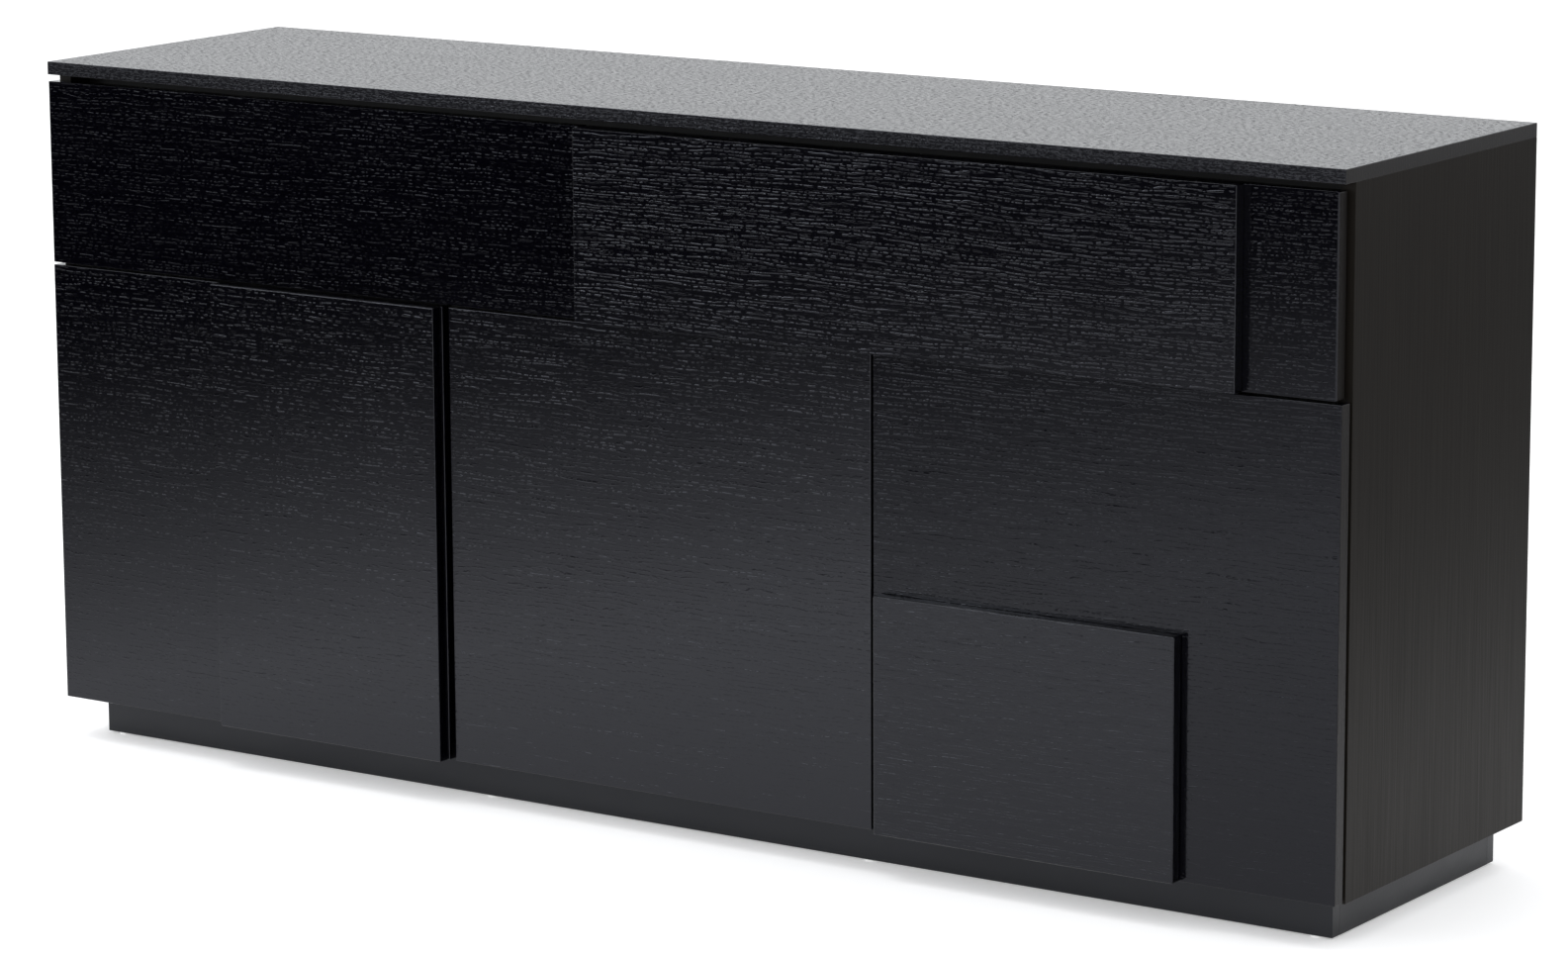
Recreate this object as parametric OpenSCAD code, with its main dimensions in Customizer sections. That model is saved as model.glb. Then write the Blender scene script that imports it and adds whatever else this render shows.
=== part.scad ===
// Low sideboard: two drawers over three doors, on a set-back plinth.
// Millimetres. +Z is up, the front faces -Y, the origin is the bottom centre.

/* [Overall size] */
// Width over the top slab
body_w = 1800; // [1700:10:1900]
// Depth, raised front boards included
body_d = 460; // [440:5:500]
// Height over everything
body_h = 850; // [820:5:900]
// Thickness of the top slab
slab_t = 16; // [14:1:18]
// Thickness of the carcass panels
panel_t = 18; // [16:1:18]

/* [Fronts] */
// Thickness of the door and drawer front boards
front_t = 18; // [18:1:19]
// How far a raised board stands out of its front
raise = 16; // [10:1:20]
// Space between the back of the fronts and the carcass
front_gap = 4; // [4:0.5:6]
// Gap between two fronts
reveal = 3; // [3:0.5:4]
// Height of the drawer band
band_h = 224; // [200:2:230]
// Shadow gap between the slab and the drawer band
band_gap = 8; // [6:1:12]
// Centre line of the gap between the two drawers
drawer_split_x = -94; // [-140:1:-60]
// How much shorter the drawer band is at the right end
band_inset_right = 7; // [1:1:8]
// Right end of the raised board on the drawer band
band_raise_right = 778; // [700:1:800]
// Width of the finger groove between the left and middle doors
groove_w = 9; // [8:1:12]
// Centre line of the finger groove
groove_x = -291.5; // [-310:0.5:-280]
// Centre line between the middle and right doors
split_x = 306.5; // [290:0.5:310]
// Width of the plain strip at the left of the left door
left_plain_w = 263; // [200:1:300]
// Width of the raised board on the right door
block_w = 390; // [300:1:420]
// Height of that board
block_h = 276; // [200:1:320]
// How far that board is set in from the door's left edge
block_inset = 9; // [5:1:15]

/* [Plinth] */
// Height of the plinth boards
plinth_h = 48; // [40:1:60]
// Thickness of the plinth boards
plinth_t = 16; // [16:1:18]
// Set back from the slab at the sides
plinth_side_in = 28; // [20:1:40]
// Set back from the door fronts
plinth_front_in = 46; // [40:1:60]
// Set in at the back
plinth_back_in = 16; // [10:1:30]
// Lift of the nylon glides
glide_h = 2; // [2:0.5:4]

/* [Drawers] */
// Height of the drawer boxes
box_h = 150; // [120:5:150]
// Thickness of the drawer box sides
box_t = 15; // [15:1:18]
// Depth of the drawer boxes
box_d = 380; // [360:5:380]
// Space for one slide
slide_w = 12.7; // [12.7:0.1:13]
// Length of the slides
slide_len = 370; // [350:5:370]

/* [Hidden] */
$fn = 48;
e = 0.01;
xl = -body_w / 2;
xr = body_w / 2;
yf = -body_d / 2 + raise;          // front plane of the fronts and the slab
yr = body_d / 2;                   // rear plane
yb = yf + front_t;                 // back of the fronts
yc = yb + front_gap;               // front edge of the carcass
back_t = 5;
yk = yr - 9;                       // rear edge of the inner panels
z_carc = glide_h + plinth_h;       // underside of the carcass
z_floor = z_carc + panel_t;        // cupboard floor
z_slab = body_h - slab_t;          // underside of the slab
z_band_t = z_slab - band_gap;
z_band_b = z_band_t - band_h;
z_door_t = z_band_b - reveal;
z_door_b = z_carc + 2;
z_deck = z_band_b - reveal / 2 - panel_t / 2;
z_deck_t = z_deck + panel_t;
z_itop = z_slab - panel_t;
in_l = xl + panel_t;               // inner faces of the side panels
in_r = xr - panel_t;
front_end = 1;                     // fronts end this far short of the slab ends
groove_back = 20;                  // the groove's partition stands back for the fingers
itop_back = 35;                    // so does the inner top, above the drawer fronts

// doors: [left edge, right edge]
door_l = [xl + front_end, groove_x - groove_w / 2];
door_m = [groove_x + groove_w / 2, split_x - reveal / 2];
door_r = [split_x + reveal / 2, xr - front_end];
board_lip = 2;                     // door board showing beside its raised board

// drawers: compartment [left, right] and front [left, right]
bay_l = [in_l, drawer_split_x - panel_t / 2];
bay_r = [drawer_split_x + panel_t / 2, in_r];
dfront_l = [xl + front_end, drawer_split_x - reveal / 2];
dfront_r = [drawer_split_x + reveal / 2, xr - band_inset_right];
z_box = z_deck_t + 12;
box_front_y = yb;
box_back_y = yb + box_d;
bottom_t = 6;
bottom_up = 12;
bottom_in = 6;                     // depth of the bottom's groove

// slides
slide_z = z_box + 52;
slide_y = yc + 4;
rail_t = 1.4;
rail_out_h = 45;
rail_mid_h = 35;
rail_in_h = 25;

// hinges
hinge_in = 80;                     // from the door's top and bottom edges
pivot_x = 9;                       // from the door's hinge edge
pivot_y = 7.2;                     // behind the door's front face
cup_r = 17.5;
cup_x = 22.5;
cup_deep = 13.5;
cup_wall = 0.8;
pin_r = 0.75;
pin_fit = 0.05;
pin_half = 10;
arm_x0 = 22;
arm_x1 = 37;

// shelves and pins
shelf_t = 18;
shelf_z = z_floor + 250;
shelf_side = 1;
pin_hole_r = 2.5;

// screws and dowels
dowel_r = 4;
dowel_l = 30;
fit = 0.05;

// colours
c_wood = [0.13, 0.12, 0.12];
c_front = [0.10, 0.10, 0.11];
c_inner = [0.20, 0.19, 0.18];
c_box = [0.62, 0.52, 0.40];
c_plinth = [0.09, 0.09, 0.10];
c_steel = [0.72, 0.73, 0.75];
c_white = [0.93, 0.93, 0.91];
c_clear = [0.85, 0.87, 0.88];

// ---------- helpers ----------

// a box given by its two corners
module box(a, b) {
    translate(a) cube([b[0] - a[0], b[1] - a[1], b[2] - a[2]]);
}

// a round bar along Z
module bar_z(x, y, z0, z1, r) {
    translate([x, y, z0]) cylinder(h = z1 - z0, r = r);
}

// a round bar along X
module bar_x(x0, x1, y, z, r) {
    translate([x0, y, z]) rotate([0, 90, 0]) cylinder(h = x1 - x0, r = r);
}

// a round bar along Y
module bar_y(x, y0, y1, z, r) {
    translate([x, y1, z]) rotate([90, 0, 0]) cylinder(h = y1 - y0, r = r);
}

// ---------- dowels between the panels ----------

dowel_y = [yc + 60, 0, yk - 60];
dowel_in = 8;                      // depth in the slab
dowel_side_in = 11;                // depth in a side panel

// upright dowels in the top edges of the side panels, into the slab; g is the gap all round
module dowels_slab(g) {
    for (x = [xl + panel_t / 2, xr - panel_t / 2])
        for (y = dowel_y)
            bar_z(x, y + 25, z_slab + dowel_in - dowel_l - g, z_slab + dowel_in + g, dowel_r + g);
}

// lying dowels from a side panel into the three long panels
module dowels_side(sx, g) {
    x1 = sx < 0 ? in_l - dowel_side_in : in_r + dowel_side_in;
    x0 = x1 - sx * dowel_l;
    for (z = [z_carc + panel_t / 2, z_deck + panel_t / 2, z_itop + panel_t / 2])
        for (y = dowel_y)
            bar_x(min(x0, x1) - g, max(x0, x1) + g, y, z, dowel_r + g);
}

// ---------- carcass ----------

module top_slab() {
    color(c_wood)
        difference() {
            box([xl, yf, z_slab], [xr, yr, body_h]);
            dowels_slab(fit);
        }
}

module side_panel(sx) {
    x0 = sx < 0 ? xl : in_r;
    inner = sx < 0 ? in_l : in_r;
    difference() {
        box([x0, yc, z_carc], [x0 + panel_t, yr, z_slab]);
        dowels_slab(fit);
        dowels_side(sx, fit);
        for (y = pin_ys)
            bar_x(inner - 9, inner + 9, y, shelf_z - pin_hole_r, pin_hole_r);
    }
}

module side_panel_left() {
    color(c_wood) side_panel(-1);
}

module side_panel_right() {
    color(c_wood) side_panel(1);
}

module long_panel(z, y0) {
    difference() {
        box([in_l, y0, z], [in_r, yk, z + panel_t]);
        dowels_side(-1, fit);
        dowels_side(1, fit);
        screws_back(fit);
    }
}

module inner_top_panel() {
    color(c_inner) long_panel(z_itop, yc + itop_back);
}

module bottom_panel() {
    color(c_inner) long_panel(z_carc, yc);
}

module drawer_deck() {
    color(c_inner) long_panel(z_deck, yc);
}

module partition(x, y0) {
    difference() {
        box([x - panel_t / 2, y0, z_floor], [x + panel_t / 2, yk, z_deck]);
        for (y = pin_ys)
            bar_x(x - panel_t, x + panel_t, y, shelf_z - pin_hole_r, pin_hole_r);
    }
}

module partition_left() {
    color(c_inner) partition(groove_x, yc + groove_back);
}

module partition_right() {
    color(c_inner) partition(split_x, yc);
}

module drawer_divider() {
    color(c_inner)
        box([drawer_split_x - panel_t / 2, yc + itop_back, z_deck_t],
            [drawer_split_x + panel_t / 2, yk, z_itop]);
}

// ---------- back panels ----------

back_in = 1;
z_back_split = z_deck + panel_t / 2;

module back_board(x0, x1, z0, z1) {
    difference() {
        box([x0, yk, z0], [x1, yk + back_t, z1]);
        screws_back(fit);
    }
}

module back_panel_upper() {
    color(c_inner) back_board(in_l + back_in, in_r - back_in, z_back_split + 0.5, z_slab - 1);
}

module back_panel_left() {
    color(c_inner) back_board(in_l + back_in, groove_x - 0.5, z_carc + 1, z_back_split - 0.5);
}

module back_panel_middle() {
    color(c_inner) back_board(groove_x + 0.5, split_x - 0.5, z_carc + 1, z_back_split - 0.5);
}

module back_panel_right() {
    color(c_inner) back_board(split_x + 0.5, in_r - back_in, z_carc + 1, z_back_split - 0.5);
}

// screw places on the rear edges of the inner panels
function lerp(a, b, t) = a + (b - a) * t;
screw_rows = [z_carc + panel_t / 2 - 2, z_back_split - 5, z_back_split + 5, z_itop + panel_t / 2];
screw_cols = 6;
screw_r = 1.75;
screw_l = 12;
head_r = 3.5;
head_t = 1.5;
recess_l = 4;
recess_w = 0.8;
recess_t = 0.9;

// puts its children at every screw place
module at_screws() {
    for (z = screw_rows)
        for (i = [0:screw_cols - 1])
            translate([lerp(in_l + 40, in_r - 40, i / (screw_cols - 1)), 0, z]) children();
}

// flat-headed screws, g is the gap round them
module screws_back(g) {
    at_screws() {
        bar_y(0, yk - screw_l - g, yk + back_t, 0, screw_r + g);
        bar_y(0, yk + back_t - head_t - g, yk + back_t + g, 0, head_r + g);
    }
}

// cross recess in a screw head
module cross_recess() {
    y0 = yk + back_t - recess_t;
    y1 = yk + back_t + 1;
    box([-recess_l / 2, y0, -recess_w / 2], [recess_l / 2, y1, recess_w / 2]);
    box([-recess_w / 2, y0, -recess_l / 2], [recess_w / 2, y1, recess_l / 2]);
}

module back_screws() {
    color(c_steel)
        difference() {
            screws_back(0);
            at_screws() cross_recess();
        }
}

module carcass_dowels() {
    color(c_box) {
        dowels_slab(0);
        dowels_side(-1, 0);
        dowels_side(1, 0);
    }
}

// ---------- shelves ----------

pin_ys = [yc + 90, yk - 60];
bay_doors = [[in_l, groove_x - panel_t / 2], [groove_x + panel_t / 2, split_x - panel_t / 2],
             [split_x + panel_t / 2, in_r]];

module shelf(i) {
    box([bay_doors[i][0] + shelf_side, yc + 45, shelf_z],
        [bay_doors[i][1] - shelf_side, yk - 2, shelf_z + shelf_t]);
}

module shelf_left() {
    color(c_inner) shelf(0);
}

module shelf_middle() {
    color(c_inner) shelf(1);
}

module shelf_right() {
    color(c_inner) shelf(2);
}

// pins: a short stud in the panel and a round head under the shelf
module shelf_pins() {
    color(c_steel)
        for (bay = bay_doors)
            for (y = pin_ys) {
                bar_x(bay[0] - 7, bay[0] + 8, y, shelf_z - pin_hole_r, pin_hole_r - fit);
                bar_x(bay[1] - 8, bay[1] + 7, y, shelf_z - pin_hole_r, pin_hole_r - fit);
            }
}

// ---------- plinth ----------

pl_l = xl + plinth_side_in;
pl_r = xr - plinth_side_in;
pl_f = yf + plinth_front_in;
pl_b = yr - plinth_back_in;
brace_x = 270;
glide_xs = [pl_l + 22, -brace_x, brace_x, pl_r - 22];
glide_r = 8;
nail_r = 1.5;

module glide_nails(r, l) {
    for (x = glide_xs)
        for (y = [pl_f + plinth_t / 2, pl_b - plinth_t / 2])
            bar_z(x, y, glide_h - e, glide_h + l, r);
}

module plinth_front() {
    color(c_plinth)
        difference() {
            box([pl_l, pl_f, glide_h], [pl_r, pl_f + plinth_t, z_carc]);
            glide_nails(nail_r, 14);
        }
}

module plinth_back() {
    color(c_plinth)
        difference() {
            box([pl_l, pl_b - plinth_t, glide_h], [pl_r, pl_b, z_carc]);
            glide_nails(nail_r, 14);
        }
}

module plinth_side(x) {
    box([x, pl_f + plinth_t, glide_h], [x + plinth_t, pl_b - plinth_t, z_carc]);
}

module plinth_left() {
    color(c_plinth) plinth_side(pl_l);
}

module plinth_right() {
    color(c_plinth) plinth_side(pl_r - plinth_t);
}

module plinth_braces() {
    color(c_plinth)
        for (x = [-brace_x, brace_x])
            plinth_side(x - plinth_t / 2);
}

// corner blocks that join the plinth to the cupboard floor
block_s = 25;
module plinth_blocks() {
    color(c_box)
        for (x = [pl_l + plinth_t, pl_r - plinth_t - block_s])
            for (y = [pl_f + plinth_t, pl_b - plinth_t - block_s])
                box([x, y, z_carc - 36], [x + block_s, y + block_s, z_carc]);
}

module glides() {
    color(c_white)
        for (x = glide_xs)
            for (y = [pl_f + plinth_t / 2, pl_b - plinth_t / 2]) {
                bar_z(x, y, 0, glide_h, glide_r);
                bar_z(x, y, glide_h / 2, glide_h + 12, nail_r - fit);
            }
}

// ---------- doors ----------

hinge_zs = [z_door_b + hinge_in, z_door_t - hinge_in];

// hinge edge and direction into the door for each door
function hinge_edge(i) = i == 0 ? door_l[0] : i == 1 ? door_m[1] : door_r[1];
function hinge_dir(i) = i == 0 ? 1 : -1;

// places things written as (distance from the hinge edge, distance behind the door face)
module at_hinge(i) {
    translate([hinge_edge(i), yf, 0])
        mirror([hinge_dir(i) < 0 ? 1 : 0, 0, 0])
            children();
}

module door_board(d, i) {
    difference() {
        box([d[0], yf, z_door_b], [d[1], yb, z_door_t]);
        at_hinge(i)
            for (z = hinge_zs)
                bar_y(cup_x, front_t - cup_deep, front_t + 1, z, cup_r);
    }
}

module door_left_board() {
    color(c_front) door_board(door_l, 0);
}

module door_left_raised_board() {
    color(c_front)
        box([door_l[0] + left_plain_w, yf - raise, z_door_b], [door_l[1] - board_lip, yf, z_door_t]);
}

module door_middle_board() {
    color(c_front) door_board(door_m, 1);
}

module door_right_board() {
    color(c_front) door_board(door_r, 2);
}

module door_right_raised_board() {
    color(c_front)
        box([door_r[0] + block_inset, yf - raise, z_door_b],
            [door_r[0] + block_inset + block_w, yf, z_door_b + block_h]);
}

// ---------- hinges ----------

// wall of the carcass beside each door's hinges, from the hinge edge
function hinge_wall(i) = i == 0 ? in_l - door_l[0] : i == 1 ? door_m[1] - (split_x - panel_t / 2)
    : door_r[1] - in_r;

module cup(i) {
    at_hinge(i)
        for (z = hinge_zs) {
            difference() {
                union() {
                    bar_y(cup_x, front_t - cup_deep, front_t + 1, z, cup_r - fit);
                    // flange with its two screw ears
                    box([cup_x - 13, front_t, z - 31], [cup_x + 13, front_t + 1, z + 31]);
                }
                bar_y(cup_x, front_t - cup_deep + cup_wall, front_t + 2, z, cup_r - cup_wall);
                for (s = [-1, 1])
                    bar_y(cup_x + 4, front_t - 1, front_t + 2, z + s * 24, 2.2);
                bar_z(pivot_x, pivot_y, z - 12, z + 12, pin_r);
                // notch in the rim where the arm comes out of the cup
                box([cup_x - cup_r - 1, front_t - 4, z - 7], [cup_x - 12, front_t + 2, z + 7]);
            }
        }
}

module hinge_cups_left() {
    color(c_steel) cup(0);
}

module hinge_cups_middle() {
    color(c_steel) cup(1);
}

module hinge_cups_right() {
    color(c_steel) cup(2);
}

module pins(i) {
    at_hinge(i)
        for (z = hinge_zs)
            bar_z(pivot_x, pivot_y, z - pin_half, z + pin_half, pin_r - 0.01);
}

module hinge_pins_left() {
    color(c_steel) pins(0);
}

module hinge_pins_middle() {
    color(c_steel) pins(1);
}

module hinge_pins_right() {
    color(c_steel) pins(2);
}

// the bent arm from the mounting plate into the cup
module arm(i, z) {
    w0 = hinge_wall(i) + 5;
    half = 5.5;
    difference() {
        union() {
            bar_z(pivot_x, pivot_y, z - half, z + half, 1.5);
            box([pivot_x, pivot_y - 1.5, z - half], [arm_x1, pivot_y + 1.5, z + half]);
            box([arm_x1 - 3, pivot_y - 1.5, z - half], [arm_x1, 26, z + half]);
            box([min(w0, arm_x0), 24, z - 7], [arm_x1, 82, z + 7]);
        }
        bar_z(pivot_x, pivot_y, z - half - 1, z + half + 1, pin_r + pin_fit);
        // hollow under the arm, as in folded sheet
        box([w0 - 1, 30, z - 5.5], [arm_x1 - 2, 78, z + 5.5]);
    }
}

module hinge_arms() {
    color(c_steel)
        for (i = [0:2])
            at_hinge(i)
                for (z = hinge_zs)
                    arm(i, z);
}

// wing plates on the carcass under the arms
module hinge_plates() {
    color(c_steel)
        for (i = [0:2])
            at_hinge(i)
                for (z = hinge_zs)
                    difference() {
                        union() {
                            box([hinge_wall(i), 34, z - 9], [hinge_wall(i) + 5, 78, z + 9]);
                            box([hinge_wall(i), 44, z - 25], [hinge_wall(i) + 2.5, 62, z + 25]);
                        }
                        for (s = [-1, 1])
                            bar_x(hinge_wall(i) - 1, hinge_wall(i) + 4, 53, z + s * 18, 2.5);
                    }
}

// ---------- bumpers ----------

bump_r = 4;
bump_t = front_gap - 0.4;

// on the back of each door at the free edge, opposite the deck and the bottom panel
module bumpers(x) {
    color(c_clear)
        for (z = [z_door_b + 9, z_door_t - 4.5])
            bar_y(x, yb, yb + bump_t, z, bump_r);
}

module bumpers_left() {
    bumpers(door_l[1] - 14);
}

module bumpers_middle() {
    bumpers(door_m[0] + 14);
}

module bumpers_right() {
    bumpers(door_r[0] + 14);
}

// ---------- drawers ----------

function box_l(bay) = bay[0] + slide_w;
function box_r(bay) = bay[1] - slide_w;

module drawer_front(f) {
    color(c_front) box([f[0], yf, z_band_b], [f[1], yb, z_band_t]);
}

module drawer_side(bay, a) {
    x0 = a == 0 ? box_l(bay) : box_r(bay) - box_t;
    color(c_box)
        difference() {
            box([x0, box_front_y, z_box], [x0 + box_t, box_back_y, z_box + box_h]);
            drawer_bottom_solid(bay, 0.1);
        }
}

module drawer_box_front(bay) {
    color(c_box)
        difference() {
            box([box_l(bay) + box_t, box_front_y, z_box],
                [box_r(bay) - box_t, box_front_y + box_t, z_box + box_h]);
            drawer_bottom_solid(bay, 0.1);
        }
}

module drawer_back(bay) {
    color(c_box)
        box([box_l(bay) + box_t, box_back_y - box_t, z_box + bottom_up + bottom_t + 0.2],
            [box_r(bay) - box_t, box_back_y, z_box + box_h]);
}

module drawer_bottom_solid(bay, g) {
    box([box_l(bay) + box_t - bottom_in - g, box_front_y + box_t - bottom_in - g, z_box + bottom_up - g],
        [box_r(bay) - box_t + bottom_in + g, box_back_y - 2 + g, z_box + bottom_up + bottom_t + g]);
}

module drawer_bottom(bay) {
    color(c_box) drawer_bottom_solid(bay, 0);
}

module drawer_left_front() {
    drawer_front(dfront_l);
}

module drawer_left_side_a() {
    drawer_side(bay_l, 0);
}

module drawer_left_side_b() {
    drawer_side(bay_l, 1);
}

module drawer_left_box_front() {
    drawer_box_front(bay_l);
}

module drawer_left_back() {
    drawer_back(bay_l);
}

module drawer_left_bottom() {
    drawer_bottom(bay_l);
}

module drawer_right_front() {
    drawer_front(dfront_r);
}

module drawer_right_raised_board() {
    color(c_front)
        box([dfront_r[0] + 0.5, yf - raise, z_band_b], [band_raise_right, yf, z_band_t]);
}

module drawer_right_side_a() {
    drawer_side(bay_r, 0);
}

module drawer_right_side_b() {
    drawer_side(bay_r, 1);
}

module drawer_right_box_front() {
    drawer_box_front(bay_r);
}

module drawer_right_back() {
    drawer_back(bay_r);
}

module drawer_right_bottom() {
    drawer_bottom(bay_r);
}

// ---------- slides ----------

// a C-shaped rail along Y: u0 to u1 across, h high, web at u0 or at u1
module rail(u0, u1, h, web_low) {
    difference() {
        box([u0, slide_y, slide_z - h / 2], [u1, slide_y + slide_len, slide_z + h / 2]);
        box([web_low ? u0 + rail_t : u0 - 1, slide_y - 1, slide_z - h / 2 + rail_t],
            [web_low ? u1 + 1 : u1 - rail_t, slide_y + slide_len + 1, slide_z + h / 2 - rail_t]);
    }
}

// both slides of a bay, written from the cabinet wall inwards
module slide_pair(bay, u0, u1, h, web_low) {
    color(c_steel) {
        translate([bay[0], 0, 0]) rail(u0, u1, h, web_low);
        translate([bay[1], 0, 0]) mirror([1, 0, 0]) rail(u0, u1, h, web_low);
    }
}

module slides_outer() {
    slide_pair(bay_l, 0, 9, rail_out_h, true);
    slide_pair(bay_r, 0, 9, rail_out_h, true);
}

module slides_middle_left() {
    slide_pair(bay_l, 3.4, 9.4, rail_mid_h, true);
}

module slides_middle_right() {
    slide_pair(bay_r, 3.4, 9.4, rail_mid_h, true);
}

module slides_inner_left() {
    slide_pair(bay_l, 6, slide_w, rail_in_h, false);
}

module slides_inner_right() {
    slide_pair(bay_r, 6, slide_w, rail_in_h, false);
}

// ---------- output ----------

top_slab();
side_panel_left();
side_panel_right();
inner_top_panel();
bottom_panel();
drawer_deck();
partition_left();
partition_right();
drawer_divider();
back_panel_upper();
back_panel_left();
back_panel_middle();
back_panel_right();
back_screws();
carcass_dowels();
shelf_left();
shelf_middle();
shelf_right();
shelf_pins();
plinth_front();
plinth_back();
plinth_left();
plinth_right();
plinth_braces();
plinth_blocks();
glides();
door_left_board();
door_left_raised_board();
door_middle_board();
door_right_board();
door_right_raised_board();
hinge_plates();
hinge_arms();
hinge_cups_left();
hinge_cups_middle();
hinge_cups_right();
hinge_pins_left();
hinge_pins_middle();
hinge_pins_right();
bumpers_left();
bumpers_middle();
bumpers_right();
drawer_left_front();
drawer_left_side_a();
drawer_left_side_b();
drawer_left_box_front();
drawer_left_back();
drawer_left_bottom();
drawer_right_front();
drawer_right_raised_board();
drawer_right_side_a();
drawer_right_side_b();
drawer_right_box_front();
drawer_right_back();
drawer_right_bottom();
slides_outer();
slides_middle_left();
slides_middle_right();
slides_inner_left();
slides_inner_right();
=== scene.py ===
"""Looks of the low black sideboard: camera, materials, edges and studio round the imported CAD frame."""

import math

import bpy
from mathutils import Matrix, Vector


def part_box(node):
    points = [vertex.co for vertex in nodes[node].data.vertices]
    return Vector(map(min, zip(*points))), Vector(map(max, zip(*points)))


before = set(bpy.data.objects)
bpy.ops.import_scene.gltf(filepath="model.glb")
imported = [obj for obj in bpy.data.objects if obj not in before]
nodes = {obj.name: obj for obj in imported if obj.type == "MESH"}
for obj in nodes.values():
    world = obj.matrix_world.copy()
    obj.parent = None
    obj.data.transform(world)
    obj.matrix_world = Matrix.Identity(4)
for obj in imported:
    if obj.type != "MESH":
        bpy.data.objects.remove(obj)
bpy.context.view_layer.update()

scene = bpy.context.scene
MM = 0.001


# ---------- camera ----------

SENSOR_MM = 36
PHOTO_W = 1585
CAMERA_FOCAL_PX = 5571    # the lens for an image PHOTO_W wide
CAMERA_AZIMUTH = 34.16    # degrees, as are the next two
CAMERA_ELEVATION = 11.15
CAMERA_ROLL = -0.29
CAMERA_FROM_SLAB = Vector((3.62, -5.28, 0.80))   # metres from the centre of the slab's top
FAR_CLIP = 200


def make_camera():
    """The camera at the photographed viewing angle."""
    lo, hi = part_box("top_slab")
    slab_top = Vector(((lo[0] + hi[0]) / 2, (lo[1] + hi[1]) / 2, hi[2]))
    a, e, r = (math.radians(v) for v in (CAMERA_AZIMUTH, CAMERA_ELEVATION, CAMERA_ROLL))
    back = Vector((math.sin(a) * math.cos(e), -math.cos(a) * math.cos(e), math.sin(e)))
    level = Vector((math.cos(a), math.sin(a), 0))
    up = level.cross(-back)
    right = math.cos(r) * level + math.sin(r) * up
    tilted_up = math.cos(r) * up - math.sin(r) * level
    data = bpy.data.cameras.new("camera")
    data.sensor_width = SENSOR_MM
    data.lens = SENSOR_MM * CAMERA_FOCAL_PX / PHOTO_W
    data.clip_end = FAR_CLIP
    cam = bpy.data.objects.new("camera", data)
    scene.collection.objects.link(cam)
    turn = Matrix((right, tilted_up, back)).transposed().to_4x4()
    cam.matrix_world = Matrix.Translation(slab_top + CAMERA_FROM_SLAB) @ turn
    scene.camera = cam


# ---------- node graphs ----------

END_FACING = 0.7    # a face whose normal is more along X than this is an end


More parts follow.
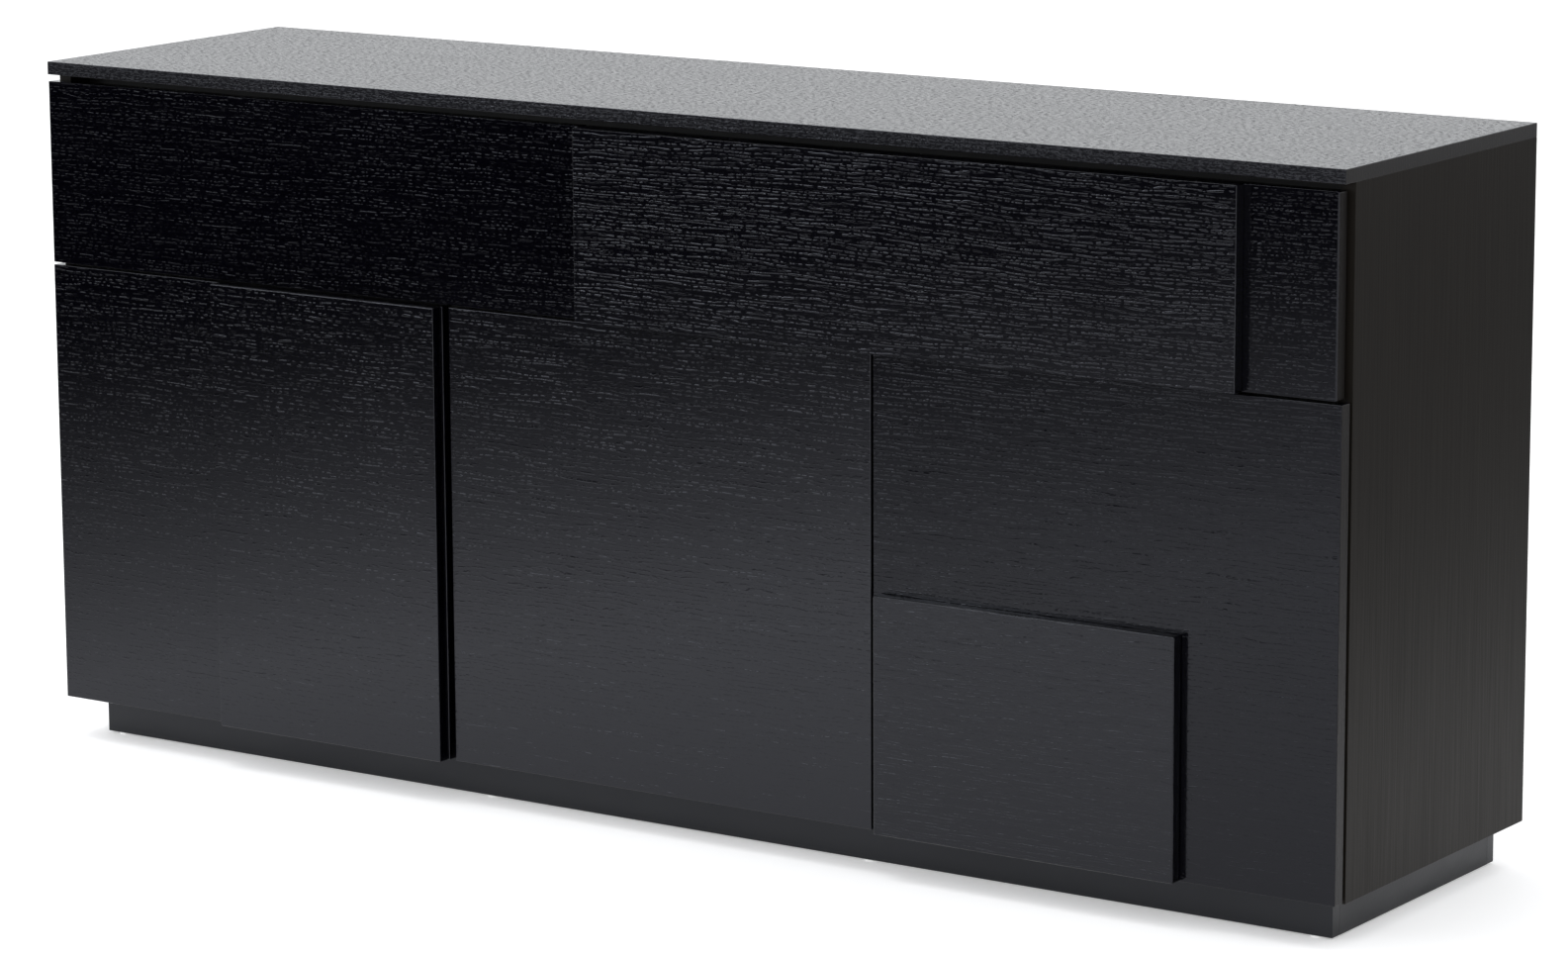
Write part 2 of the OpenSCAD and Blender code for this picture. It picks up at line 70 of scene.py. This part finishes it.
class Graph:
    """A material whose nodes are made by small calls that return output sockets."""

    def __init__(self, name):
        self.material = bpy.data.materials.new(name)
        self.material.use_nodes = True
        self.tree = self.material.node_tree
        self.tree.nodes.clear()

    def put(self, socket, value):
        """Sets an input to a value, or links it to a socket."""
        if isinstance(value, bpy.types.NodeSocket):
            self.tree.links.new(value, socket)
        else:
            socket.default_value = value

    def add(self, kind, values=(), **settings):
        """A node; values are pairs of input and value."""
        n = self.tree.nodes.new(kind)
        for key, value in settings.items():
            setattr(n, key, value)
        for key, value in values:
            self.put(n.inputs[key], value)
        return n

    def math(self, op, a, b=0.0, c=0.0):
        n = self.add("ShaderNodeMath", operation=op)
        for i, value in enumerate((a, b, c)):
            self.put(n.inputs[i], value)
        return n.outputs[0]

    def vector(self, x, y, z):
        n = self.add("ShaderNodeCombineXYZ", [("X", x), ("Y", y), ("Z", z)])
        return n.outputs[0]

    def noise(self, a, b, seed, along, across, detail=2.0, rough=0.5):
        """Noise from 0 to 1, with that many features a metre along and across the grain."""
        v = self.vector(self.math("MULTIPLY", a, along), self.math("MULTIPLY", b, across), float(seed))
        values = [("Vector", v), ("Scale", 1.0), ("Detail", detail), ("Roughness", rough)]
        return self.add("ShaderNodeTexNoise", values).outputs["Fac"]

    def wander(self, along, across, seed, per_along, per_across, reach):
        """across, shifted to and fro by up to half of reach, in metres, so that the grain isn't straight."""
        drift = self.noise(along, across, seed, per_along, per_across, detail=1.0)
        return self.math("MULTIPLY_ADD", self.math("SUBTRACT", drift, 0.5), reach, across)

    def steps(self, value, low, high, to_low=0.0, to_high=1.0, kind="SMOOTHSTEP"):
        """value mapped from low..high to to_low..to_high."""
        values = [("Value", value), ("From Min", low), ("From Max", high)]
        values += [("To Min", to_low), ("To Max", to_high)]
        return self.add("ShaderNodeMapRange", values, interpolation_type=kind).outputs["Result"]

    def blend(self, amount, a, b):
        """Colour a where amount is 0 and b where it is 1."""
        n = self.add("ShaderNodeMix", data_type="RGBA")
        self.put(n.inputs[0], amount)
        self.put(n.inputs[6], (*a, 1.0) if isinstance(a, tuple) else a)
        self.put(n.inputs[7], (*b, 1.0) if isinstance(b, tuple) else b)
        return n.outputs[2]

    def surface(self, colour, rough, height=None, **fixed):
        """The shader; height is in metres, and fixed are values that are the same all over."""
        shader = self.add("ShaderNodeBsdfPrincipled")
        self.put(shader.inputs["Base Color"], (*colour, 1.0) if isinstance(colour, tuple) else colour)
        self.put(shader.inputs["Roughness"], rough)
        for key, value in fixed.items():
            shader.inputs[key.replace("_", " ")].default_value = value
        if height is not None:
            bump = self.add("ShaderNodeBump", [("Strength", 1.0), ("Distance", 1.0), ("Height", height)])
            self.put(shader.inputs["Normal"], bump.outputs[0])
        out = self.add("ShaderNodeOutputMaterial")
        self.tree.links.new(shader.outputs[0], out.inputs["Surface"])
        return self.material

    def place(self):
        """The three coordinates of the point on the piece, in metres."""
        coords = self.add("ShaderNodeTexCoord").outputs["Object"]
        parts = self.add("ShaderNodeSeparateXYZ", [("Vector", coords)])
        return parts.outputs[0], parts.outputs[1], parts.outputs[2]

    def grain_axes(self, grain):
        """(along, across) the grain on every face of a board whose grain runs along X, Y or Z."""
        x, y, z = self.place()
        if grain == "X":
            return x, self.math("ADD", y, z)
        if grain == "Y":
            return y, self.math("ADD", x, z)
        return z, self.math("ADD", x, y)

    def banded_grain(self):
        """(along, across, is_end) for grain along X that stands upright on the ends, like edge banding."""
        x, y, z = self.place()
        normal = self.add("ShaderNodeTexCoord").outputs["Normal"]
        nx = self.add("ShaderNodeSeparateXYZ", [("Vector", normal)]).outputs[0]
        is_end = self.math("GREATER_THAN", self.math("ABSOLUTE", nx), END_FACING)
        along = self.either(is_end, x, z)
        across = self.either(is_end, self.math("ADD", y, z), self.math("ADD", x, y))
        return along, across, is_end

    def either(self, amount, a, b):
        """Value a where amount is 0 and b where it is 1."""
        n = self.add("ShaderNodeMix", data_type="FLOAT")
        self.put(n.inputs[0], amount)
        self.put(n.inputs[2], a)
        self.put(n.inputs[3], b)
        return n.outputs[0]


# ---------- materials ----------

LACQUER_TINT = (0.89, 0.91, 1.0, 1.0)
VENEER_DARK = (0.0002, 0.00015, 0.0009)
VENEER_LIGHT = (0.0006, 0.0005, 0.0013)
BARE_END = (0.0090, 0.0078, 0.0069)
BARE_END_ROUGH = 0.42
PORE_SHARE = 0.10    # depth of a pore as a share of a ridge's height


def black_veneer(name, seed, ripple=4.6, depth=0.12, flow=6.0, rough=0.14, bead=6.0, cover=0.0, ior=1.42,
                 porous=0.0, pitted=0.12, bare_ends=False):
    """Black lacquered open-pore veneer with raised, wire-brushed grain along X.

    ripple is the spacing of the rows, bead the length of the short ridges in a row, flow how far the rows
    wander, and depth their height, all in mm. A larger cover leaves more of each row raised, a larger porous
    opens more pores, pitted is how much duller they are, and bare_ends gives the ends the duller brown of
    thin lacquer."""
    g = Graph(name)
    along, across, is_end = g.banded_grain()
    across = g.wander(along, across, seed, 1.3, 5.0, flow * 2 * MM)
    per_row = 1000 / ripple

    sway = g.noise(along, across, seed + 3, 11, 0.45 * per_row, detail=2.0)
    turns = g.math("MULTIPLY_ADD", sway, 2.8, g.math("MULTIPLY", across, per_row))
    wave = g.math("SINE", g.math("MULTIPLY", turns, math.tau))
    rows = g.steps(wave, 0.35, 1.0)

    bead_noise = g.noise(along, across, seed + 7, 1000 / bead, per_row * 1.3, detail=1.0)
    beads = g.steps(bead_noise, 0.46 - cover, 0.60 - cover)
    patches = g.noise(along, across, seed + 13, 9, per_row * 0.6, detail=2.0)
    strength = g.steps(patches, 0.35, 0.65, 0.35, 1.0)
    pore_noise = g.noise(along, across, seed + 11, 400 / bead, per_row * 3.6, detail=1.0)
    pores = g.steps(pore_noise, 0.60 - porous, 0.72 - porous)

    ridges = g.math("MULTIPLY", g.math("MULTIPLY", rows, beads), strength)
    height = g.math("MULTIPLY_ADD", pores, -PORE_SHARE * depth * MM, g.math("MULTIPLY", ridges, depth * MM))
    tone = g.noise(along, across, seed + 17, 3.0, 60, detail=3.0)
    colour = g.blend(tone, VENEER_DARK, VENEER_LIGHT)
    gloss = g.math("MULTIPLY_ADD", pores, pitted, g.math("MULTIPLY_ADD", tone, 0.06, rough - 0.03))
    if bare_ends:
        colour = g.blend(is_end, colour, BARE_END)
        gloss = g.either(is_end, gloss, BARE_END_ROUGH)
    return g.surface(colour, gloss, height, IOR=ior, Specular_Tint=LACQUER_TINT)


def matte_veneer(name, seed):
    """Fine upright veneer of the side panels, with a flatter lacquer."""
    g = Graph(name)
    along, across = g.grain_axes("Z")
    across = g.wander(along, across, seed, 1.0, 5.0, 12 * MM)
    streaks = g.noise(along, across, seed + 5, 5, 210, detail=3.0, rough=0.6)
    fibres = g.noise(along, across, seed + 9, 40, 900, detail=2.0, rough=0.6)
    bands = g.noise(along, across, seed + 13, 0.8, 22, detail=2.0)
    colour = g.blend(streaks, (0.0052, 0.0043, 0.0034), (0.0108, 0.0088, 0.0068))
    colour = g.blend(g.steps(bands, 0.35, 0.75, 0.0, 0.35), colour, (0.0070, 0.0058, 0.0046))
    height = g.math("MULTIPLY_ADD", fibres, 0.05 * MM, g.math("MULTIPLY", streaks, 0.16 * MM))
    gloss = g.steps(streaks, 0.2, 0.8, 0.48, 0.38)
    return g.surface(colour, gloss, height, IOR=1.20)


def black_board(name, seed, grain="X"):
    """Black foil-faced board inside the carcass, with a faint wood print."""
    g = Graph(name)
    along, across = g.grain_axes(grain)
    streaks = g.noise(along, across, seed, 6, 260, detail=3.0, rough=0.6)
    bands = g.noise(along, across, seed + 2, 1.0, 18, detail=2.0)
    colour = g.blend(streaks, (0.010, 0.0095, 0.009), (0.024, 0.022, 0.021))
    colour = g.blend(g.steps(bands, 0.4, 0.7, 0.0, 0.3), colour, (0.016, 0.014, 0.013))
    gloss = g.steps(streaks, 0.25, 0.75, 0.50, 0.40)
    return g.surface(colour, gloss, g.math("MULTIPLY", streaks, 0.06 * MM), IOR=1.45)


def back_board(name, seed):
    """Thin black hardboard with the faint leathery face of a pressed sheet."""
    g = Graph(name)
    x, y, z = g.place()
    pebbles = g.noise(x, z, seed, 420, 420, detail=3.0, rough=0.6)
    clouds = g.noise(x, z, seed + 1, 5, 5, detail=3.0)
    colour = g.blend(clouds, (0.013, 0.0125, 0.012), (0.026, 0.024, 0.023))
    gloss = g.steps(clouds, 0.3, 0.7, 0.62, 0.50)
    return g.surface(colour, gloss, g.math("MULTIPLY", pebbles, 0.10 * MM), IOR=1.45)


def plinth_lacquer(name, seed):
    """Smooth satin lacquer on the plinth, with a little orange peel, and duller near the floor."""
    g = Graph(name)
    x, y, z = g.place()
    peel = g.noise(g.math("ADD", x, y), z, seed, 240, 240, detail=2.0)
    clouds = g.noise(g.math("ADD", x, y), z, seed + 4, 9, 22, detail=3.0)
    colour = g.blend(clouds, (0.0035, 0.0038, 0.0042), (0.0065, 0.0068, 0.0072))
    scuffed = g.steps(z, 0.030, 0.004, 0.0, 0.10)
    gloss = g.math("ADD", scuffed, g.steps(clouds, 0.3, 0.7, 0.40, 0.32))
    height = g.math("MULTIPLY", peel, 0.05 * MM)
    return g.surface(colour, gloss, height, IOR=1.38, Specular_Tint=LACQUER_TINT)


def pale_wood(name, seed, grain, light, dark, rough=0.45):
    """Clear-lacquered light wood: drawer boxes, blocks and dowels."""
    g = Graph(name)
    along, across = g.grain_axes(grain)
    across = g.wander(along, across, seed, 1.5, 9, 30 * MM)
    figure = g.noise(along, across, seed + 2, 2.0, 70, detail=4.0, rough=0.6)
    fibres = g.noise(along, across, seed + 5, 18, 700, detail=3.0, rough=0.65)
    colour = g.blend(g.steps(figure, 0.3, 0.7), light, dark)
    colour = g.blend(g.steps(fibres, 0.55, 0.75, 0.0, 0.35), colour, tuple(0.55 * c for c in dark))
    gloss = g.math("MULTIPLY_ADD", fibres, 0.15, rough - 0.07)
    return g.surface(colour, gloss, g.math("MULTIPLY", fibres, 0.06 * MM), IOR=1.45)


def zinc_steel(name, seed, along_axis="Y"):
    """Bright zinc-plated sheet, drawn along one axis, with cloudy passivation."""
    g = Graph(name)
    along, across = g.grain_axes(along_axis)
    lines = g.noise(along, across, seed, 12, 1800, detail=2.0)
    clouds = g.noise(along, across, seed + 3, 35, 60, detail=3.0)
    colour = g.blend(clouds, (0.50, 0.51, 0.53), (0.66, 0.66, 0.65))
    gloss = g.math("MULTIPLY_ADD", clouds, 0.16, 0.20)
    return g.surface(colour, gloss, g.math("MULTIPLY", lines, 0.012 * MM), Metallic=1.0)


def white_nylon(name):
    """Moulded white nylon, slightly mottled."""
    g = Graph(name)
    x, y, z = g.place()
    mottle = g.noise(x, g.math("ADD", y, z), 5, 500, 500, detail=3.0)
    colour = g.blend(mottle, (0.78, 0.78, 0.76), (0.88, 0.88, 0.86))
    gloss = g.steps(mottle, 0.3, 0.7, 0.38, 0.50)
    return g.surface(colour, gloss, g.math("MULTIPLY", mottle, 0.04 * MM), IOR=1.53)


def soft_bumper(name):
    """Cloudy pale polyurethane of the small door bumpers."""
    g = Graph(name)
    x, y, z = g.place()
    haze = g.noise(x, g.math("ADD", y, z), 9, 700, 700, detail=2.0)
    colour = g.blend(haze, (0.66, 0.68, 0.69), (0.80, 0.81, 0.82))
    gloss = g.steps(haze, 0.3, 0.7, 0.22, 0.34)
    return g.surface(colour, gloss, g.math("MULTIPLY", haze, 0.02 * MM), IOR=1.49)


# ---------- edges and finishes ----------

WELD_MM = 0.01
SHARP_DEGREES = 50


def round_edges(name, width_mm, segments=3):
    """Rounds the sharp edges of a CAD node without touching its mesh."""
    o = nodes[name]
    weld = o.modifiers.new("weld", "WELD")
    weld.merge_threshold = WELD_MM * MM
    bevel = o.modifiers.new("bevel", "BEVEL")
    bevel.width = width_mm * MM
    bevel.segments = segments
    bevel.limit_method = "ANGLE"
    bevel.angle_limit = math.radians(SHARP_DEGREES)
    bevel.use_clamp_overlap = False
    even = o.modifiers.new("even", "WEIGHTED_NORMAL")
    even.keep_sharp = False


def finish_with(name, material):
    """Gives a CAD node its material in every slot."""
    o = nodes[name]
    if not o.data.materials:
        o.data.materials.append(None)
    for s in o.material_slots:
        s.link = "OBJECT"
        s.material = material


# node: edge radius in mm, then the settings of its veneer
FRONTS = {
    "drawer_left_front": (1.2, dict(depth=0.10, rough=0.10, ior=1.34)),
    "drawer_right_front": (2.6, dict(bead=5, rough=0.11, ior=1.37, bare_ends=True)),
    "drawer_right_raised_board": (1.0, dict(depth=0.16, rough=0.13, flow=14, cover=0.05)),
    "door_left_board": (1.0, dict(ripple=5.2, depth=0.14, rough=0.11)),
    "door_left_raised_board": (1.0, dict(ripple=5.2, depth=0.14, bead=7, rough=0.12, ior=1.43)),
    "door_middle_board": (1.0, dict(ripple=5, rough=0.13, ior=1.43, cover=0.03)),
    "door_right_board": (1.0, dict(depth=0.16, bead=5, rough=0.12, ior=1.34, cover=0.05, bare_ends=True)),
    "door_right_raised_board": (2.2, dict(ripple=4, depth=0.22, bead=3, rough=0.11, ior=1.395, cover=0.07)),
}

TOP_VENEER = dict(ripple=5.5, depth=0.14, bead=2.6, rough=0.22, ior=1.44, porous=0.08, pitted=0.42,
                  bare_ends=True)

# foil-faced board: direction of its printed grain
BLACK_BOARDS = {
    "inner_top_panel": "X",
    "bottom_panel": "X",
    "drawer_deck": "X",
    "partition_left": "Z",
    "partition_right": "Z",
    "drawer_divider": "Z",
    "shelf_left": "X",
    "shelf_middle": "X",
    "shelf_right": "X",
}

# light and dark colour of each pale wood
PINE = (0.52, 0.36, 0.19), (0.40, 0.25, 0.12)
BEECH = (0.50, 0.33, 0.20), (0.42, 0.26, 0.15)
BIRCH = (0.60, 0.46, 0.30), (0.50, 0.36, 0.21)

# part of a drawer box: direction of its grain
BOX_PARTS = {"side_a": "Y", "side_b": "Y", "box_front": "X", "back": "X", "bottom": "X"}


def finish_fronts():
    for i, (name, (edge_mm, settings)) in enumerate(FRONTS.items()):
        finish_with(name, black_veneer("veneer_" + name, seed=31 * (i + 1), **settings))
        round_edges(name, edge_mm, segments=4)


def finish_carcass():
    finish_with("top_slab", black_veneer("veneer_top", seed=401, **TOP_VENEER))
    round_edges("top_slab", 0.7)
    for i, side in enumerate(("left", "right")):
        finish_with("side_panel_" + side, matte_veneer("veneer_side_" + side, seed=431 + 20 * i))
        round_edges("side_panel_" + side, 0.6)
    for i, (name, grain) in enumerate(BLACK_BOARDS.items()):
        finish_with(name, black_board("board_" + name, seed=500 + 7 * i, grain=grain))
        round_edges(name, 0.5, segments=2)
    for i, part in enumerate(("upper", "left", "middle", "right")):
        finish_with("back_panel_" + part, back_board("hardboard_" + part, seed=600 + 5 * i))


def finish_plinth():
    for i, part in enumerate(("front", "back", "left", "right", "braces")):
        name = "plinth_" + part
        finish_with(name, plinth_lacquer("lacquer_" + name, seed=640 + 9 * i))
        round_edges(name, 0.6, segments=2)
    finish_with("plinth_blocks", pale_wood("pine", 700, "Z", *PINE, rough=0.6))
    finish_with("carcass_dowels", pale_wood("beech", 710, "Z", *BEECH, rough=0.6))
    finish_with("glides", white_nylon("nylon"))
    round_edges("plinth_blocks", 0.8, segments=2)
    round_edges("glides", 0.3, segments=2)


def finish_drawers():
    for i, drawer in enumerate(("left", "right")):
        for k, (part, grain) in enumerate(BOX_PARTS.items()):
            name = "drawer_" + drawer + "_" + part
            wood = pale_wood("birch_" + drawer + "_" + part, 720 + 50 * i + 9 * k, grain, *BIRCH)
            finish_with(name, wood)
            round_edges(name, 0.8, segments=2)


def finish_hardware():
    rails = zinc_steel("zinc_rails", seed=800)
    for part in ("outer", "middle_left", "middle_right", "inner_left", "inner_right"):
        finish_with("slides_" + part, rails)
        round_edges("slides_" + part, 0.2, segments=2)
    plated = zinc_steel("zinc_hinges", seed=820, along_axis="Z")
    for name in ("hinge_plates", "hinge_arms", "shelf_pins", "back_screws"):
        finish_with(name, plated)
    for name in ("hinge_plates", "hinge_arms"):
        round_edges(name, 0.3, segments=2)
    rubber = soft_bumper("polyurethane")
    for door in ("left", "middle", "right"):
        finish_with("hinge_cups_" + door, plated)
        finish_with("hinge_pins_" + door, plated)
        finish_with("bumpers_" + door, rubber)


# ---------- studio ----------

FLOOR_REACH = 60    # metres each way
WORLD_COLOUR = (0.97, 0.985, 1.0, 1.0)
WORLD_STRENGTH = 1.2


def plain_mesh(name, corners, faces):
    """A mesh object from its corners and faces."""
    mesh = bpy.data.meshes.new(name)
    mesh.from_pydata(corners, [], faces)
    o = bpy.data.objects.new(name, mesh)
    scene.collection.objects.link(o)
    return o


def make_floor():
    """A wide pale floor that glows a little, like a light table, so that its shadows stay faint."""
    r = FLOOR_REACH
    floor = plain_mesh("floor", [(-r, -r, 0), (r, -r, 0), (r, r, 0), (-r, r, 0)], [(0, 1, 2, 3)])
    g = Graph("floor_paper")
    x, y, z = g.place()
    mottle = g.noise(x, y, 1, 3, 3, detail=3.0)
    colour = g.blend(mottle, (0.89, 0.88, 0.88), (0.91, 0.90, 0.90))
    floor.data.materials.append(g.surface(colour, 0.8, g.math("MULTIPLY", mottle, 0.2 * MM),
                                          Emission_Color=(1.0, 1.0, 1.0, 1.0), Emission_Strength=0.3))


# Black studio cards just above the floor, seen only in reflections. A card's edge runs through a point, in a
# direction, from start to end metres along it. The card is clear at fade_from metres past the edge, black at
# fade_to and ends at reach, and wall is the height of an upright part at that end.
FLAGS = {
    "flag_front_left": dict(point=(-1.79, -1.60), direction=(0.518, -0.855), start=-1.0, end=9.0,
                            fade_from=-1.2, fade_to=1.8, reach=10.0, wall=0.0),
    "flag_left": dict(point=(-1.60, 0.20), direction=(0.0, -1.0), start=-7.0, end=1.2,
                      fade_from=0.0, fade_to=0.6, reach=7.0, wall=1.5),
    "flag_back_right": dict(point=(1.30, 0.50), direction=(0.0, 1.0), start=-1.2, end=9.0,
                            fade_from=0.0, fade_to=0.6, reach=7.0, wall=4.0),
}
FLAG_LIFT = 2 * MM    # above the floor


def fading_velvet(name, point, out, fade_from, fade_to):
    """Black velvet that is clear fade_from metres past the edge and solid at fade_to."""
    g = Graph(name)
    x, y, z = g.place()
    past = g.math("ADD", g.math("MULTIPLY", g.math("SUBTRACT", x, point[0]), out.x),
                  g.math("MULTIPLY", g.math("SUBTRACT", y, point[1]), out.y))
    left = g.steps(past, fade_from, fade_to, 1.0, 0.0, kind="LINEAR")
    clear = g.math("MULTIPLY", left, left)
    black = g.add("ShaderNodeBsdfDiffuse", [("Color", (0.001, 0.001, 0.001, 1.0))])
    mix = g.add("ShaderNodeMixShader", [(0, clear)])
    g.tree.links.new(black.outputs[0], mix.inputs[1])
    g.tree.links.new(g.add("ShaderNodeBsdfTransparent").outputs[0], mix.inputs[2])
    g.tree.links.new(mix.outputs[0], g.add("ShaderNodeOutputMaterial").inputs["Surface"])
    return g.material


def make_flag(name, point, direction, start, end, fade_from, fade_to, reach, wall):
    """One card of FLAGS."""
    along = Vector((*direction, 0))
    out = Vector((along.y, -along.x, 0))
    near = [Vector((*point, FLAG_LIFT)) + t * along + fade_from * out for t in (start, end)]
    far = [p + (reach - fade_from) * out for p in near]
    corners = [*near, *far]
    faces = [(0, 1, 3, 2)]
    if wall:
        corners += [p + Vector((0, 0, wall)) for p in far]
        faces.append((2, 3, 5, 4))
    flag = plain_mesh(name, corners, faces)
    flag.data.materials.append(fading_velvet("velvet_" + name, point, out, fade_from, fade_to))
    flag.visible_camera = False
    flag.visible_diffuse = False
    flag.visible_shadow = False


def softbox(name, place, target, size, watts, colour):
    """A rectangular light that faces its target."""
    data = bpy.data.lights.new(name, "AREA")
    data.shape = "RECTANGLE"
    data.size, data.size_y = size
    data.energy = watts
    data.color = colour
    o = bpy.data.objects.new(name, data)
    o.location = place
    o.rotation_euler = (Vector(target) - Vector(place)).to_track_quat("-Z", "Y").to_euler()
    scene.collection.objects.link(o)


def make_world():
    """Plain white to the camera, and a slightly cool and stronger light for everything else."""
    world = bpy.data.worlds.new("studio")
    scene.world = world
    world.use_nodes = True
    tree = world.node_tree
    tree.nodes.clear()
    light = tree.nodes.new("ShaderNodeBackground")
    light.inputs["Color"].default_value = WORLD_COLOUR
    light.inputs["Strength"].default_value = WORLD_STRENGTH
    seen = tree.nodes.new("ShaderNodeBackground")
    seen.inputs["Color"].default_value = (1.0, 1.0, 1.0, 1.0)
    path = tree.nodes.new("ShaderNodeLightPath")
    mix = tree.nodes.new("ShaderNodeMixShader")
    out = tree.nodes.new("ShaderNodeOutputWorld")
    tree.links.new(path.outputs["Is Camera Ray"], mix.inputs[0])
    tree.links.new(light.outputs[0], mix.inputs[1])
    tree.links.new(seen.outputs[0], mix.inputs[2])
    tree.links.new(mix.outputs[0], out.inputs["Surface"])


def make_studio():
    make_floor()
    for name, flag in FLAGS.items():
        make_flag(name, **flag)
    make_world()
    softbox("softbox_over", place=(-0.9, -0.5, 3.4), target=(0, 0, 0), size=(1.8, 1.2), watts=25,
            colour=(0.96, 0.98, 1.0))
    softbox("softbox_front", place=(-3.2, -4.6, 2.1), target=(0, 0, 0.4), size=(2.0, 1.3), watts=50,
            colour=(0.90, 0.95, 1.0))
    scene.view_settings.view_transform = "Standard"


make_camera()
finish_fronts()
finish_carcass()
finish_plinth()
finish_drawers()
finish_hardware()
make_studio()
